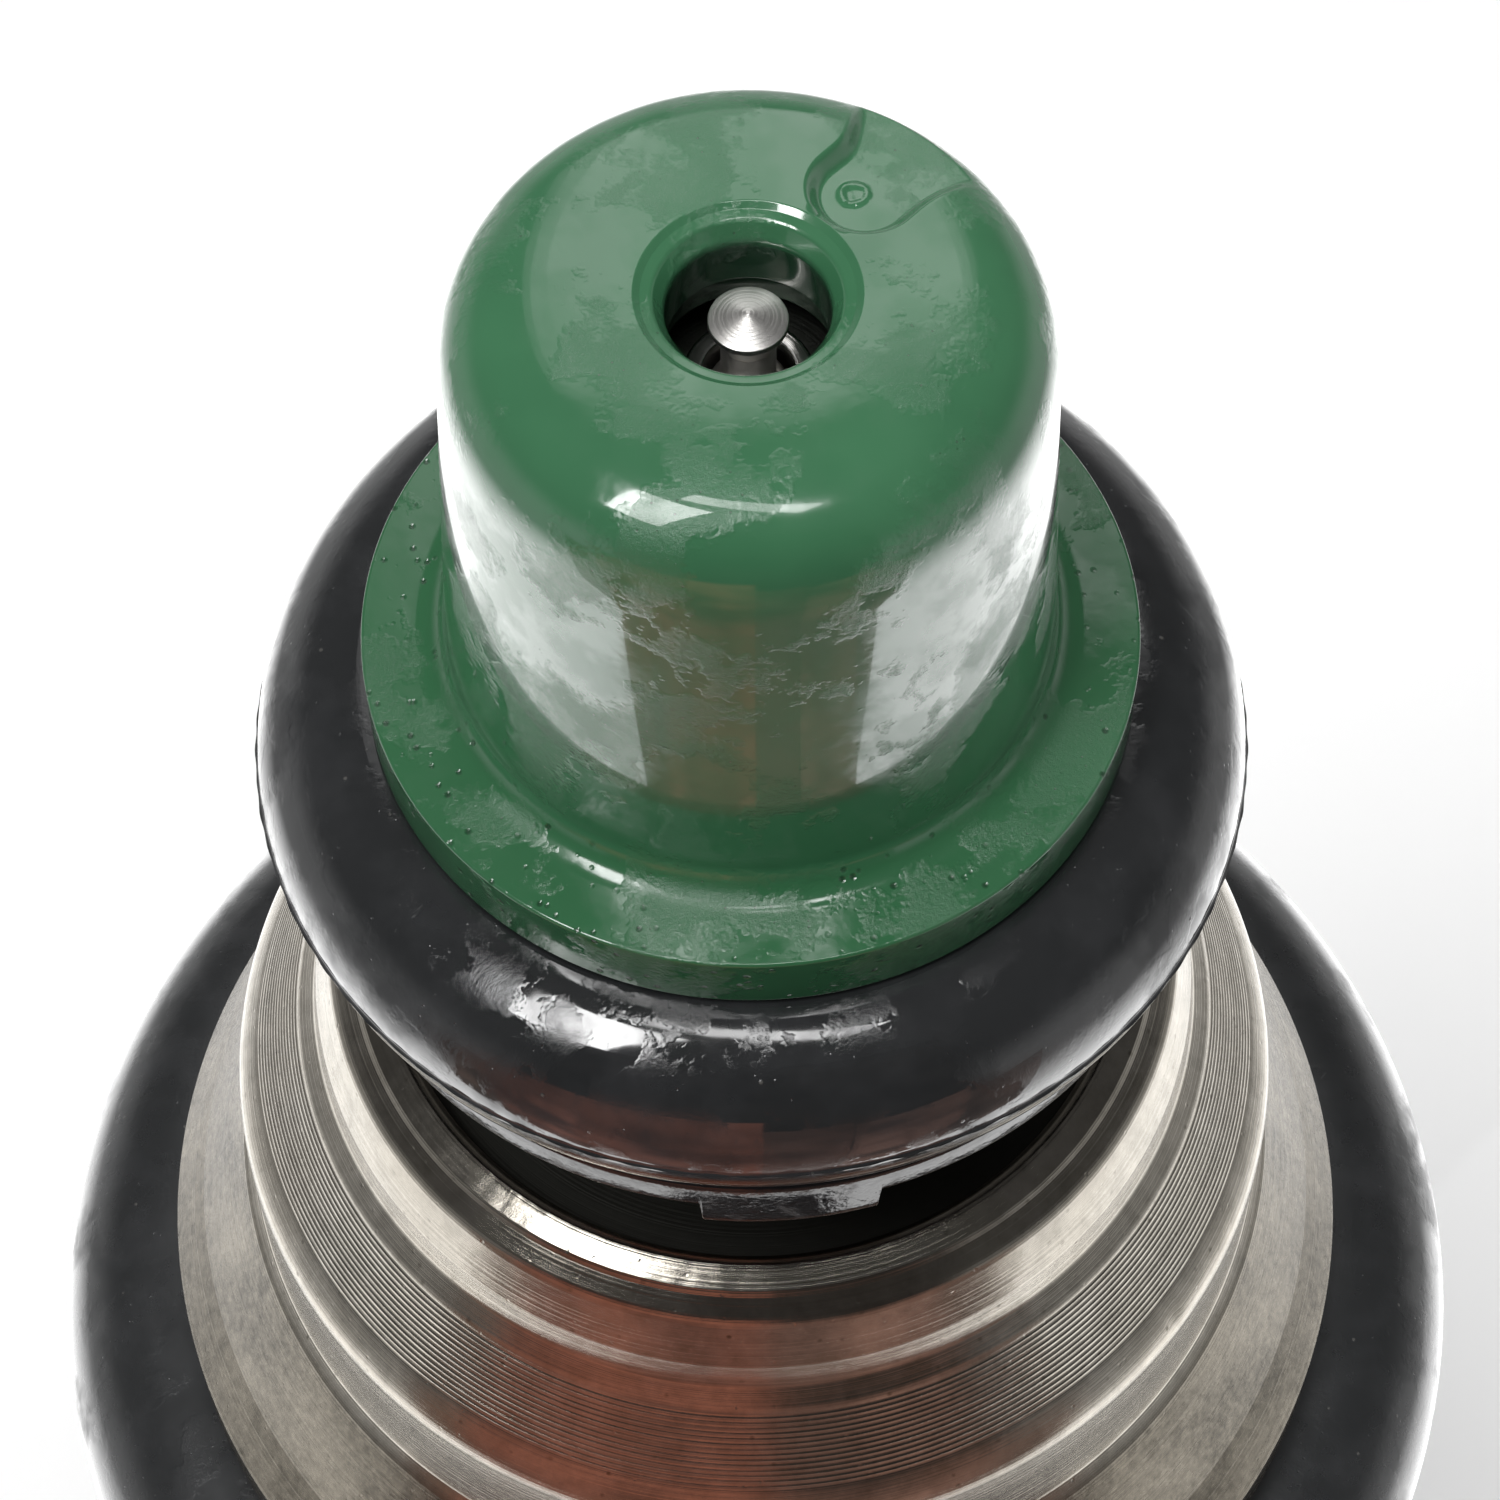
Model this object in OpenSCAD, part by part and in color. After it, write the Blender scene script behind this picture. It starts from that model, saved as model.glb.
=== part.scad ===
// Top-feed pintle fuel injector, spray tip up, standing on its inlet end.
// Z runs along the injector's axis; z = 0 is the face of the inlet end, where the fuel rail pushes on.

/* [Seals] */
// Inner diameter of both seal rings
ring_bore = 7.52; // [7.3:0.01:7.7]
// Thickness of both seal rings
ring_section = 3.54; // [3.4:0.01:3.6]
// Height of the lower seal ring's middle plane
seal_z = 64; // [63.5:0.1:66]
// Height of the upper seal ring's middle plane
rail_seal_z = 3.45; // [3.4:0.01:3.5]

/* [Pintle cap] */
// Radius of the cap's flange
cap_flange_r = 5.54; // [5.3:0.01:5.7]
// Thickness of the cap's flange
cap_flange_h = 1.07; // [0.9:0.01:1.2]
// Radius of the cap's wall at the flange
cap_foot_r = 4.3; // [4.2:0.01:4.4]
// Radius of the cap's wall at the top
cap_top_r = 4.04; // [3.9:0.01:4.1]
// Height of the cap's face above the lower seal
cap_rise = 10.6; // [10.4:0.05:10.9]
// Rounding of the cap's top edge
cap_round = 1.6; // [1.5:0.05:2.2]
// Radius of the spray hole
spray_r = 1.06; // [1:0.01:1.15]

/* [Needle] */
// Radius of the pintle's head
pintle_r = 0.52; // [0.48:0.01:0.56]
// Height of the pintle's top above the lower seal
pintle_rise = 10.06; // [9.9:0.01:10.2]
// Radius of the needle's guide lands
guide_r = 1.87; // [1.84:0.01:1.88]
// Lift of the needle
needle_lift = 0.15; // [0.06:0.01:0.2]

/* [Housing] */
// Radius of the nozzle-side step that sits in the manifold
pilot_r = 8.75; // [8.6:0.01:8.9]
// Radius of the shoulder plate
plate_r = 10.5; // [10.3:0.05:10.7]
// Radius of the main barrel
barrel_r = 12; // [11.8:0.05:12.2]
// Outer radius of the rubber cushion ring
cushion_r = 13; // [12.8:0.05:13.2]

/* [Connector] */
// Height of the connector's axis
socket_z = 16.2; // [16:0.1:16.4]
// Width of the connector's shroud
socket_w = 15.6; // [15:0.1:16.4]
// Height of the connector's shroud
socket_h = 10.4; // [10:0.1:10.6]
// Distance from the axis to the connector's mouth
socket_reach = 27.5; // [26:0.1:30]
// Distance between the two blades
blade_pitch = 5.4; // [5:0.1:5.6]

/* [Hidden] */
$fn = 96;

ring_tube_r = ring_section / 2;
ring_mid_r = ring_bore / 2 + ring_tube_r;
seat_r = ring_bore / 2 - 0.02;
slack = 0.03;

// heights along the axis, from the nozzle end down
cap_z = seal_z + cap_rise;
flange_top_z = seal_z + 2.92;
flange_under_z = flange_top_z - cap_flange_h;
orifice_z = seal_z + 8.9;
washer_top_z = seal_z - ring_tube_r - slack;
washer_under_z = seal_z - 2.42;
lip_z = seal_z - 5.95;
body_top_z = lip_z - 0.7;
cone_top_z = seal_z - 8.25;
pilot_top_z = seal_z - 10;
pilot_foot_z = seal_z - 12.7;
plate_z = seal_z - 15;
plate_edge_z = seal_z - 16;
plate_under_z = seal_z - 17.1;
body_foot_z = seal_z - 16.5;
shim_t = 0.1;
stop_z = body_foot_z - 1.4;
barrel_top_z = seal_z - 22.2;
coil_roof_z = seal_z - 23.2;
tube_flange_top_z = 27;
tube_flange_foot_z = 24.2;
barrel_foot_z = 22.8;

// radii of the turned steps
lip_r = 5.85;
neck_r = 4.2;
cone_top_r = 7.5;
body_bore_r = 6.8;
body_r = body_bore_r - 0.03;
plate_foot_r = 8.95;
plate_chamfer_r = 9.9;
cushion_seat_r = 9.6;
coil_bore_r = 10.4;
core_r = 4.6;
armature_bore_r = 4.85;

// needle and bore
bore_r = guide_r + 0.03;
orifice_r = 0.6;
stem_r = 0.36;
seat_top_z = orifice_z - 1.2;
armature_top_z = stop_z - 0.5;
armature_foot_z = 36.4;
air_gap = needle_lift + 0.06;
pole_z = armature_foot_z - air_gap;
spring_seat_z = armature_foot_z + 3.4;
sleeve_top_z = 29.2;
fuel_r = 2.05;
spring_wire_r = 0.28;
spring_mid_r = 1.5;
spring_turns = 9;

// inlet end
rim_r = 6.6;
rim_h = 1.6;
rail_groove_top_z = 5.35;
filter_r = 3;
filter_foot_z = 0.4;
filter_depth = 11;

// connector
cavity_w = socket_w - 3.2;
cavity_h = socket_h - 3;
cavity_depth = 12.5;
blade_w = 2.8;
blade_t = 0.8;
blade_out = 8.2;
blade_y = -7;
cavity_floor_y = -(socket_reach - cavity_depth);

plated = "#b9b3a6";
black = "#1b1c1e";
rubber = "#161719";
green = "#2f7a4b";
steel = "#c9cbcc";
copper = "#b4672f";

// a closed ring of round section
module ring(mid_r, tube_r, z) {
    translate([0, 0, z]) rotate_extrude() translate([mid_r, 0]) circle(r = tube_r);
}

// a plain tube between two heights
module tube(outer, inner, z0, z1) {
    translate([0, 0, z0]) difference() {
        cylinder(r = outer, h = z1 - z0);
        translate([0, 0, -1]) cylinder(r = inner, h = z1 - z0 + 2);
    }
}

// an arc of points in the section plane
function arc(x, z, r, a0, a1, n = 8) =
    [for (i = [0:n]) let (a = a0 + (a1 - a0) * i / n) [x + r * cos(a), z + r * sin(a)]];

// the rolled crimp lip, from the cone's top round to the lip's end
function lip_outline() = concat(
    [[cone_top_r, cone_top_z], [7.26, cone_top_z + 0.25]],
    arc(5.72, lip_z - 1.42, 1.46, 4, 62, 10),
    [[lip_r + 0.3, lip_z], [lip_r, lip_z - 0.08]]
);

module housing() {
    color(plated) rotate_extrude() polygon(concat(
        // bore of the coil chamber, the armature passage and the body bore
        [
            [9.7, barrel_foot_z], [9.7, tube_flange_foot_z], [coil_bore_r, tube_flange_foot_z],
            [coil_bore_r, coil_roof_z], [armature_bore_r, coil_roof_z],
            [armature_bore_r, stop_z], [body_bore_r, stop_z], [body_bore_r, body_top_z - 0.95],
            [lip_r, body_top_z]
        ],
        [for (i = [len(lip_outline()) - 1:-1:0]) lip_outline()[i]],
        // cone, rounded rim and straight pilot
        [[8.36, pilot_top_z + 0.42]],
        arc(8.36, pilot_top_z, 0.39, 78, 0, 6),
        [
            [pilot_r, pilot_foot_z], [plate_foot_r, pilot_foot_z - 0.2],
            [plate_chamfer_r, plate_z], [plate_r, plate_edge_z], [plate_r, plate_under_z],
            [cushion_seat_r, plate_under_z - 0.1], [cushion_seat_r, barrel_top_z],
            [barrel_r - 0.5, barrel_top_z], [barrel_r, barrel_top_z - 0.5],
            [barrel_r, barrel_foot_z + 0.9]
        ],
        arc(barrel_r - 0.9, barrel_foot_z + 0.9, 0.9, 0, -90, 6)
    ));
}

module cushion_ring() {
    half = 2.3;
    bore = cushion_seat_r + slack;
    mid_z = (plate_under_z + barrel_top_z) / 2 - 0.05;
    color(rubber) translate([0, 0, mid_z]) rotate_extrude() union() {
        intersection() {
            translate([cushion_r - half, 0]) circle(r = half);
            translate([bore, -half]) square(2 * half);
        }
        translate([bore, -half]) square([cushion_r - half - bore, 2 * half]);
    }
}

module nozzle_body() {
    nose_r = 2.7;
    bead_z = seal_z + 4.4;
    groove_z = seal_z - 13.2;
    color(steel) difference() {
        rotate_extrude() polygon([
            [0, body_foot_z], [body_r, body_foot_z], [body_r, groove_z - 0.6], [5.75, groove_z - 0.6],
            [5.75, groove_z + 0.6], [body_r, groove_z + 0.6], [body_r, body_top_z - 1.05],
            [lip_r - 0.05, body_top_z - 0.08], [neck_r, body_top_z - 0.08],
            [neck_r, washer_under_z - slack], [seat_r, washer_under_z - slack],
            [seat_r, flange_under_z - 0.05], [nose_r, flange_under_z - 0.05],
            [nose_r, bead_z - 0.4], [nose_r + 0.2, bead_z], [nose_r, bead_z + 0.4],
            [nose_r, orifice_z - 1.9], [nose_r - 1, orifice_z - 0.35],
            [orifice_r + 0.34, orifice_z - 0.35], [orifice_r + 0.24, orifice_z], [0, orifice_z]
        ]);
        // orifice, seat cone and guide bore
        translate([0, 0, orifice_z - 2]) cylinder(r = orifice_r, h = 3);
        translate([0, 0, seat_top_z - (bore_r - orifice_r)])
            cylinder(r1 = bore_r, r2 = orifice_r, h = bore_r - orifice_r);
        translate([0, 0, body_foot_z - 1])
            cylinder(r = bore_r, h = seat_top_z - (bore_r - orifice_r) - body_foot_z + 1);
        // room for the needle's stop collar
        translate([0, 0, body_foot_z - 1]) cylinder(r = 3.3, h = 3.2);
    }
}

module pintle_cap() {
    bore = 2.75;
    gate_angle = 48;
    gate_reach = 2.25;
    pocket_r = 0.76;
    pocket_depth = 0.36;
    fillet_r = 0.7;
    fillet_x = cap_foot_r + fillet_r;
    color(green) difference() {
        rotate_extrude() polygon(concat(
            [
                [bore, flange_under_z], [cap_flange_r, flange_under_z],
                [cap_flange_r, flange_top_z - 0.06], [cap_flange_r - 0.06, flange_top_z]
            ],
            arc(fillet_x, flange_top_z + fillet_r, fillet_r, 270, 183, 8),
            arc(cap_top_r - cap_round, cap_z - cap_round, cap_round, 3, 90, 14),
            // sunk lip round the spray hole
            [[1.56, cap_z], [1.46, cap_z - 0.07]],
            arc(spray_r + 0.3, cap_z - 0.4, 0.3, 90, 180, 6),
            [[spray_r, cap_z - 1.1], [spray_r + 0.12, orifice_z + 0.1], [bore, orifice_z + 0.1]],
            [[bore, seal_z + 4.85], [bore + 0.25, seal_z + 4.4], [bore, seal_z + 3.95]]
        ));
        // moulding gate's pocket, open over the rounded edge
        rotate([0, 0, gate_angle]) translate([gate_reach, 0, cap_z - pocket_depth]) {
            cylinder(r = pocket_r, h = 1);
            translate([0, -pocket_r, 0]) cube([3, 2 * pocket_r, 1]);
        }
    }
    // gate vestige
    color(green) rotate([0, 0, gate_angle])
        translate([gate_reach - 0.12, 0.1, cap_z - pocket_depth - 0.1]) cylinder(r = 0.2, h = 0.18);
}

module lower_seal() {
    color(rubber) ring(ring_mid_r, ring_tube_r, seal_z);
}

module backup_washer() {
    washer_r = 6.7;
    tab_h = 0.58;
    tab_half_angle = 11.5;
    tab_angle = -85.5;
    color(black) {
        tube(washer_r, seat_r + slack, washer_under_z, washer_top_z);
        intersection() {
            tube(washer_r, neck_r + 0.1, washer_under_z - tab_h, washer_under_z + 0.1);
            rotate([0, 0, tab_angle]) linear_extrude(height = seal_z)
                polygon([[0, 0], for (a = [-tab_half_angle, tab_half_angle]) 10 * [cos(a), sin(a)]]);
        }
    }
}

// four flats leave the fuel its way past a guide land
module guide_land(z, h) {
    flat = 1.62;
    translate([0, 0, z]) intersection() {
        cylinder(r = guide_r, h = h);
        translate([-flat, -flat, 0]) cube([2 * flat, 2 * flat, h]);
    }
}

module needle() {
    shank_r = 1.35;
    cone_z = seat_top_z - (bore_r - orifice_r);
    cone_gap = 0.03;
    tip_z = seal_z + pintle_rise;
    shaft_foot_z = armature_top_z - 3;
    color(steel) {
        rotate_extrude() polygon([
            [0, shaft_foot_z], [1.3, shaft_foot_z], [1.3, body_foot_z + needle_lift],
            [2.7, body_foot_z + needle_lift], [2.7, body_foot_z + 1.8],
            [shank_r, body_foot_z + 1.8], [shank_r, cone_z - 0.6], [bore_r - 0.25, cone_z - 0.3],
            [bore_r - 0.25, cone_z + 0.25 - cone_gap], [stem_r + 0.16, seat_top_z + 0.08 - cone_gap],
            [stem_r + 0.16, orifice_z - 0.25], [stem_r, orifice_z - 0.05], [stem_r, tip_z - 0.42],
            [pintle_r, tip_z - 0.1], [pintle_r, tip_z - 0.02], [pintle_r - 0.02, tip_z],
            [0, tip_z + 0.12]
        ]);
        guide_land(seal_z + 0.6, 2.6);
        guide_land(body_foot_z + 3.2, 2.6);
    }
}

module armature() {
    color("#a9abad") difference() {
        translate([0, 0, armature_foot_z])
            cylinder(r = core_r - 0.05, h = armature_top_z - armature_foot_z);
        translate([0, 0, armature_foot_z - 1]) cylinder(r = fuel_r, h = spring_seat_z - armature_foot_z + 1);
        translate([0, 0, armature_foot_z]) cylinder(r = 1.3, h = 12);
        // six fuel passages from the spring chamber to the needle side
        for (a = [0:60:300])
            rotate([0, 0, a]) translate([2.75, 0, armature_foot_z - 1]) cylinder(r = 0.55, h = 12);
    }
}

module stop_washer() {
    color(steel) difference() {
        tube(body_bore_r - 0.05, 1.6, stop_z + shim_t, body_foot_z);
        translate([0, -1.6, stop_z - 1]) cube([8, 3.2, 4]);
    }
}

module body_seal() {
    color(rubber) ring(6.26, 0.5, seal_z - 13.2);
}

// a wire swept round the helix, with flat ends a little under half a wire deep
module return_spring() {
    sides = 8;
    steps = 16 * spring_turns;
    z0 = sleeve_top_z + spring_wire_r;
    z1 = spring_seat_z - spring_wire_r;
    ease = function (u) u < 0.1 ? u * u * 5 : (u > 0.9 ? 1 - (1 - u) * (1 - u) * 5 : 0.05 + (u - 0.1) * 1.125);
    pts = [for (i = [0:steps]) let (u = i / steps, a = 360 * spring_turns * u)
        for (s = [0:sides - 1]) let (b = 360 * s / sides, r = spring_mid_r + spring_wire_r * cos(b))
            [r * cos(a), r * sin(a), z0 + (z1 - z0) * ease(u) + spring_wire_r * sin(b)]];
    walls = [for (i = [0:steps - 1], s = [0:sides - 1]) let (t = (s + 1) % sides)
        [i * sides + s, i * sides + t, (i + 1) * sides + t, (i + 1) * sides + s]];
    first = [for (s = [sides - 1:-1:0]) s];
    last = [for (s = [0:sides - 1]) steps * sides + s];
    color("#8d9094") polyhedron(points = pts, faces = concat(walls, [first, last]), convexity = 10);
}

module adjusting_sleeve() {
    color(steel) tube(fuel_r - 0.02, 1.15, 19.2, sleeve_top_z);
}

module inlet_tube() {
    color(plated) difference() {
        rotate_extrude() polygon([
            [0, 0], [rim_r, 0], [rim_r, rim_h - 0.3], [rim_r - 0.3, rim_h], [seat_r, rim_h],
            [seat_r, rail_groove_top_z + 1.15], [4.2, rail_groove_top_z + 1.15],
            [4.2, tube_flange_foot_z], [coil_bore_r - 0.05, tube_flange_foot_z],
            [coil_bore_r - 0.05, tube_flange_top_z], [core_r, tube_flange_top_z],
            [core_r, pole_z], [0, pole_z]
        ]);
        translate([0, 0, -1]) cylinder(r = fuel_r, h = pole_z + 2);
        translate([0, 0, -1]) cylinder(r = filter_r, h = filter_depth + 1);
        // ways through the flange for the coil's leads
        for (s = [-1, 1])
            translate([s * blade_pitch / 2, blade_y, tube_flange_foot_z - 1]) cylinder(r = 1.2, h = 5);
    }
}

module coil_bobbin() {
    inner = 5;
    outer = 10.15;
    z0 = tube_flange_top_z + 0.1;
    z1 = coil_roof_z - 0.1;
    color("#c8c2a8") difference() {
        rotate_extrude() polygon([
            [inner, z0 + 1.2], [5.95, z0 + 1.2], [5.95, z0], [outer, z0], [outer, z0 + 1.6],
            [6.2, z0 + 1.6], [6.2, z1 - 1.6], [outer, z1 - 1.6], [outer, z1],
            [6.6, z1], [6.6, z1 - 1.05], [inner, z1 - 1.05]
        ]);
        for (s = [-1, 1])
            translate([s * blade_pitch / 2 - 0.42, blade_y - 0.42, z0 - 1]) cube([0.84, 0.84, 2.2]);
    }
}

module coil_winding() {
    z0 = tube_flange_top_z + 1.75;
    z1 = coil_roof_z - 1.75;
    color(copper) tube(9.6, 6.25, z0, z1);
}

module coil_seal_nozzle() {
    color(rubber) ring(5.75, 0.52, coil_roof_z - 0.58);
}

module coil_seal_inlet() {
    color(rubber) ring(5.25, 0.55, tube_flange_top_z + 0.62);
}

// a lead down from the coil, bent out into the connector's blade
module terminal(side) {
    x = side * blade_pitch / 2;
    top_z = tube_flange_top_z + 1.1;
    tip_y = cavity_floor_y - blade_out;
    color("#cfd0cb") {
        translate([x - 0.4, blade_y - 0.4, socket_z]) cube([0.8, 0.8, top_z - socket_z]);
        difference() {
            translate([x - blade_w / 2, tip_y, socket_z - blade_t / 2])
                cube([blade_w, blade_y + 0.4 - tip_y, blade_t]);
            // pointed tip
            for (s = [-1, 1])
                translate([x + s * blade_w / 2, tip_y, socket_z])
                    rotate([0, 0, 45]) cube([0.9, 0.9, 3], center = true);
        }
    }
}

module terminal_left() {
    terminal(-1);
}

module terminal_right() {
    terminal(1);
}

// a rounded bar along Y, its corners true arcs
module round_bar(w, h, r, y0, y1) {
    translate([0, y1, socket_z]) rotate([90, 0, 0]) linear_extrude(height = y1 - y0) union() {
        square([w - 2 * r, h], center = true);
        square([w, h - 2 * r], center = true);
        for (x = [-1, 1], y = [-1, 1])
            translate([x * (w / 2 - r), y * (h / 2 - r)]) circle(r = r);
    }
}

module overmould() {
    top_z = tube_flange_foot_z - 0.05;
    foot_z = rail_groove_top_z + 1.2;
    root_y = 14.6;
    color(black) difference() {
        union() {
            rotate_extrude() polygon([
                [4.23, foot_z], [6, foot_z], [6, foot_z + 1.2], [5.1, foot_z + 1.2],
                [5.1, foot_z + 2.7], [6.2, foot_z + 2.7], [6.6, foot_z + 3.1],
                [6.6, 12.2], [10.9, 14.2], [11.3, 14.8], [11.3, barrel_foot_z - 0.45],
                [10.9, barrel_foot_z - 0.05], [9.65, barrel_foot_z - 0.05], [9.65, top_z], [4.23, top_z]
            ]);
            round_bar(socket_w, socket_h, 2.2, -socket_reach, -5);
            // thicker root, and a collar round the mouth for the plug's wire clip
            round_bar(socket_w + 1.4, socket_h + 0.5, 2.5, -root_y, -5);
            round_bar(socket_w + 1.6, socket_h + 0.8, 2.6, -socket_reach + 2, -socket_reach + 4.4);
        }
        cylinder(r = 4.23, h = 40);
        round_bar(cavity_w, cavity_h, 1.2, -socket_reach - 1, cavity_floor_y);
        for (s = [-1, 1]) {
            x = s * blade_pitch / 2;
            translate([x - blade_w / 2 - 0.01, -socket_reach, socket_z - blade_t / 2 - 0.01])
                cube([blade_w + 0.02, socket_reach + blade_y + 0.42, blade_t + 0.02]);
            translate([x - 0.41, blade_y - 0.41, socket_z]) cube([0.82, 0.82, 20]);
        }
    }
}

// keying ribs inside the connector's shroud
module connector_ribs() {
    rib_w = 1.2;
    rib_h = 0.9;
    color(black) for (x = [-3.6, 3.6])
        translate([x - rib_w / 2, -socket_reach + 1.5, socket_z + cavity_h / 2 - rib_h])
            cube([rib_w, cavity_depth - 1.5, rib_h]);
}

module filter_ring() {
    color("#c9a24a") tube(filter_r - 0.01, 2.3, filter_foot_z, filter_foot_z + 2.4);
}

// cage of four ribs between a collar and a closed end
module filter_cage() {
    z0 = filter_foot_z + 2.45;
    z1 = filter_depth - 0.4;
    color("#d9d2b4") {
        tube(2.8, 2.3, z0, z0 + 1.2);
        translate([0, 0, z1 - 0.9]) cylinder(r = 2.8, h = 0.9);
        for (a = [0:90:270])
            rotate([0, 0, a + 45]) translate([2.45, -0.3, z0 + 1.1]) cube([0.3, 0.6, z1 - z0 - 1.9]);
    }
}

module filter_mesh() {
    z0 = filter_foot_z + 2.5;
    color("#e4dfc8") tube(2.25, 2.13, z0, filter_depth - 1.35);
}

module upper_seal() {
    color(rubber) ring(ring_mid_r, ring_tube_r, rail_seal_z);
}

module rail_washer() {
    color(black) tube(6.9, seat_r + slack, rail_groove_top_z, rail_groove_top_z + 1.1);
}

// shim that sets the lift, between the housing step and the stop washer
module lift_shim() {
    color("#9fa3a6") tube(body_bore_r - 0.06, 5.2, stop_z, stop_z + shim_t);
}

housing();
cushion_ring();
nozzle_body();
pintle_cap();
lower_seal();
backup_washer();
needle();
armature();
stop_washer();
body_seal();
return_spring();
adjusting_sleeve();
inlet_tube();
coil_bobbin();
coil_winding();
coil_seal_nozzle();
coil_seal_inlet();
terminal_left();
terminal_right();
overmould();
connector_ribs();
filter_ring();
filter_cage();
filter_mesh();
upper_seal();
rail_washer();
lift_shim();
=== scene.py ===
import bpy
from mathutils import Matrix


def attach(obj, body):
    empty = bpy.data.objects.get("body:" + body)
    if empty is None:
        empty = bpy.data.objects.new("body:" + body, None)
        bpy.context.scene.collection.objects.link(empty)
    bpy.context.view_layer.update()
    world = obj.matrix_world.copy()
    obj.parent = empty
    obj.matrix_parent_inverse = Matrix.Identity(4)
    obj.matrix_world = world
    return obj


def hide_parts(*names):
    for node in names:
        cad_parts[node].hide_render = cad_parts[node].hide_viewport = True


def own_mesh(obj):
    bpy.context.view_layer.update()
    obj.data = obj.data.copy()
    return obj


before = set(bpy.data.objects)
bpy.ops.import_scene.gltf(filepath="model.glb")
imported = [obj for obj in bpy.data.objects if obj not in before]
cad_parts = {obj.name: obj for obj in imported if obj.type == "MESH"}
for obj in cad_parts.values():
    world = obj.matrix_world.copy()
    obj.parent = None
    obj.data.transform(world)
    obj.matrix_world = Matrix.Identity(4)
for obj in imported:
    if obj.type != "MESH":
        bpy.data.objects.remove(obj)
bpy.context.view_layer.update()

import math

import bmesh
import bpy
import numpy as np
from mathutils import Matrix, Vector

# ---------------------------------------------------------------------------------------------
# The studio. A pale floor under the inlet end, a long window light high on the left, a panel
# behind, and soft fill. Six upright cards in front and a glow over the floor show only in the
# gloss, as a lens, a hand and the bench would.

MM = 0.001
S = 64.0  # middle plane of the spray end's seal ring, in millimetres above the rail rim
TARGET = Vector((0, 0, S * MM))
VIEW_ELEVATION = math.radians(59.06)
VIEW_DISTANCE = 0.060
VIEW_ROLL = math.radians(-0.45)

view_back = Vector((0, -math.cos(VIEW_ELEVATION), math.sin(VIEW_ELEVATION)))
view_up = Vector((0, math.sin(VIEW_ELEVATION), math.cos(VIEW_ELEVATION)))
view_right = Vector((1, 0, 0))
camera = bpy.data.objects.new("camera", bpy.data.cameras.new("camera"))
bpy.context.scene.collection.objects.link(camera)
rolled_right = view_right * math.cos(VIEW_ROLL) + view_up * math.sin(VIEW_ROLL)
rolled_up = view_up * math.cos(VIEW_ROLL) - view_right * math.sin(VIEW_ROLL)
camera.matrix_world = Matrix.Translation(TARGET + view_back * VIEW_DISTANCE) @ Matrix(
    (rolled_right, rolled_up, view_back)).transposed().to_4x4()
camera.data.lens = 97.13
camera.data.sensor_width = 36
camera.data.shift_x = -0.0009
camera.data.shift_y = -0.0167
camera.data.clip_start = 0.001
camera.data.clip_end = 10
bpy.context.scene.camera = camera
bpy.context.scene.view_settings.view_transform = "Standard"


def soft_box(name, way, along, distance, size, radiance, gloss=True):
    """A rectangle of light that faces the spray end: way points to it and its first side runs along
    the second direction. Its power is pi * area * radiance, as for any flat diffuse source."""
    way = Vector(way).normalized()
    side = (Vector(along) - way * way.dot(Vector(along))).normalized()
    lamp = bpy.data.lights.new(name, "AREA")
    lamp.shape = "RECTANGLE"
    lamp.size, lamp.size_y = size
    lamp.energy = math.pi * size[0] * size[1] * radiance
    box = bpy.data.objects.new(name, lamp)
    bpy.context.scene.collection.objects.link(box)
    box.matrix_world = Matrix.Translation(TARGET + way * distance) @ Matrix(
        (side, way.cross(side), way)).transposed().to_4x4()
    box.visible_camera = False
    box.visible_glossy = gloss


soft_box("window", (-0.40, -0.33, 1), (0.65, 0.76, 0), 0.5, (0.26, 0.13), 12.5)
soft_box("skylight", (0.02, -0.08, 1), (0.35, -0.20, 0), 0.5, (0.20, 0.06), 9.0)
for panel, distance, size, radiance in (("back_panel", 0.5, (0.33, 0.35), 0.35),
                                        ("back_panel_middle", 0.48, (0.26, 0.31), 0.45),
                                        ("back_panel_core", 0.46, (0.18, 0.27), 0.40)):
    soft_box(panel, (0, 0.76, 0.65), (-1, 0, 0.19), distance, size, radiance)
soft_box("fill_above", (0, -0.03, 1), (1, 0, 0), 1.2, (1.6, 1.6), 1.20, gloss=False)
soft_box("fill_left", (-0.94, 0.1, 0.34), (0, 1, 0), 1.2, (1.0, 0.8), 0.4, gloss=False)
soft_box("fill_right", (0.94, 0.1, 0.34), (0, 1, 0), 1.2, (1.0, 0.8), 0.4, gloss=False)


def ramp(tree, value, start, end, kind="SMOOTHSTEP"):
    """Maps a value: start and end are pairs of input and output, and the output holds past them."""
    node = tree.nodes.new("ShaderNodeMapRange")
    node.interpolation_type = kind
    node.inputs["From Min"].default_value, node.inputs["To Min"].default_value = start
    node.inputs["From Max"].default_value, node.inputs["To Max"].default_value = end
    tree.links.new(value, node.inputs["Value"])
    return node.outputs[0]


# the camera sees the room white; gloss and diffuse see it fade from the horizon upwards
room = bpy.data.worlds.new("room")
bpy.context.scene.world = room
room.use_nodes = True
sky = room.node_tree
direction = sky.nodes.new("ShaderNodeTexCoord")
height_of = sky.nodes.new("ShaderNodeSeparateXYZ")
seen = sky.nodes.new("ShaderNodeLightPath")
backdrop = sky.nodes.new("ShaderNodeMath")
backdrop.operation = "MAXIMUM"
sky.links.new(direction.outputs["Generated"], height_of.inputs[0])
sky.links.new(ramp(sky, height_of.outputs["Z"], (-0.05, 0.45), (0.36, 0.08)), backdrop.inputs[0])
sky.links.new(seen.outputs["Is Camera Ray"], backdrop.inputs[1])
sky.links.new(backdrop.outputs[0], sky.nodes["Background"].inputs["Strength"])
sky.nodes["Background"].inputs["Color"].default_value = (1, 1, 1, 1)


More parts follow.
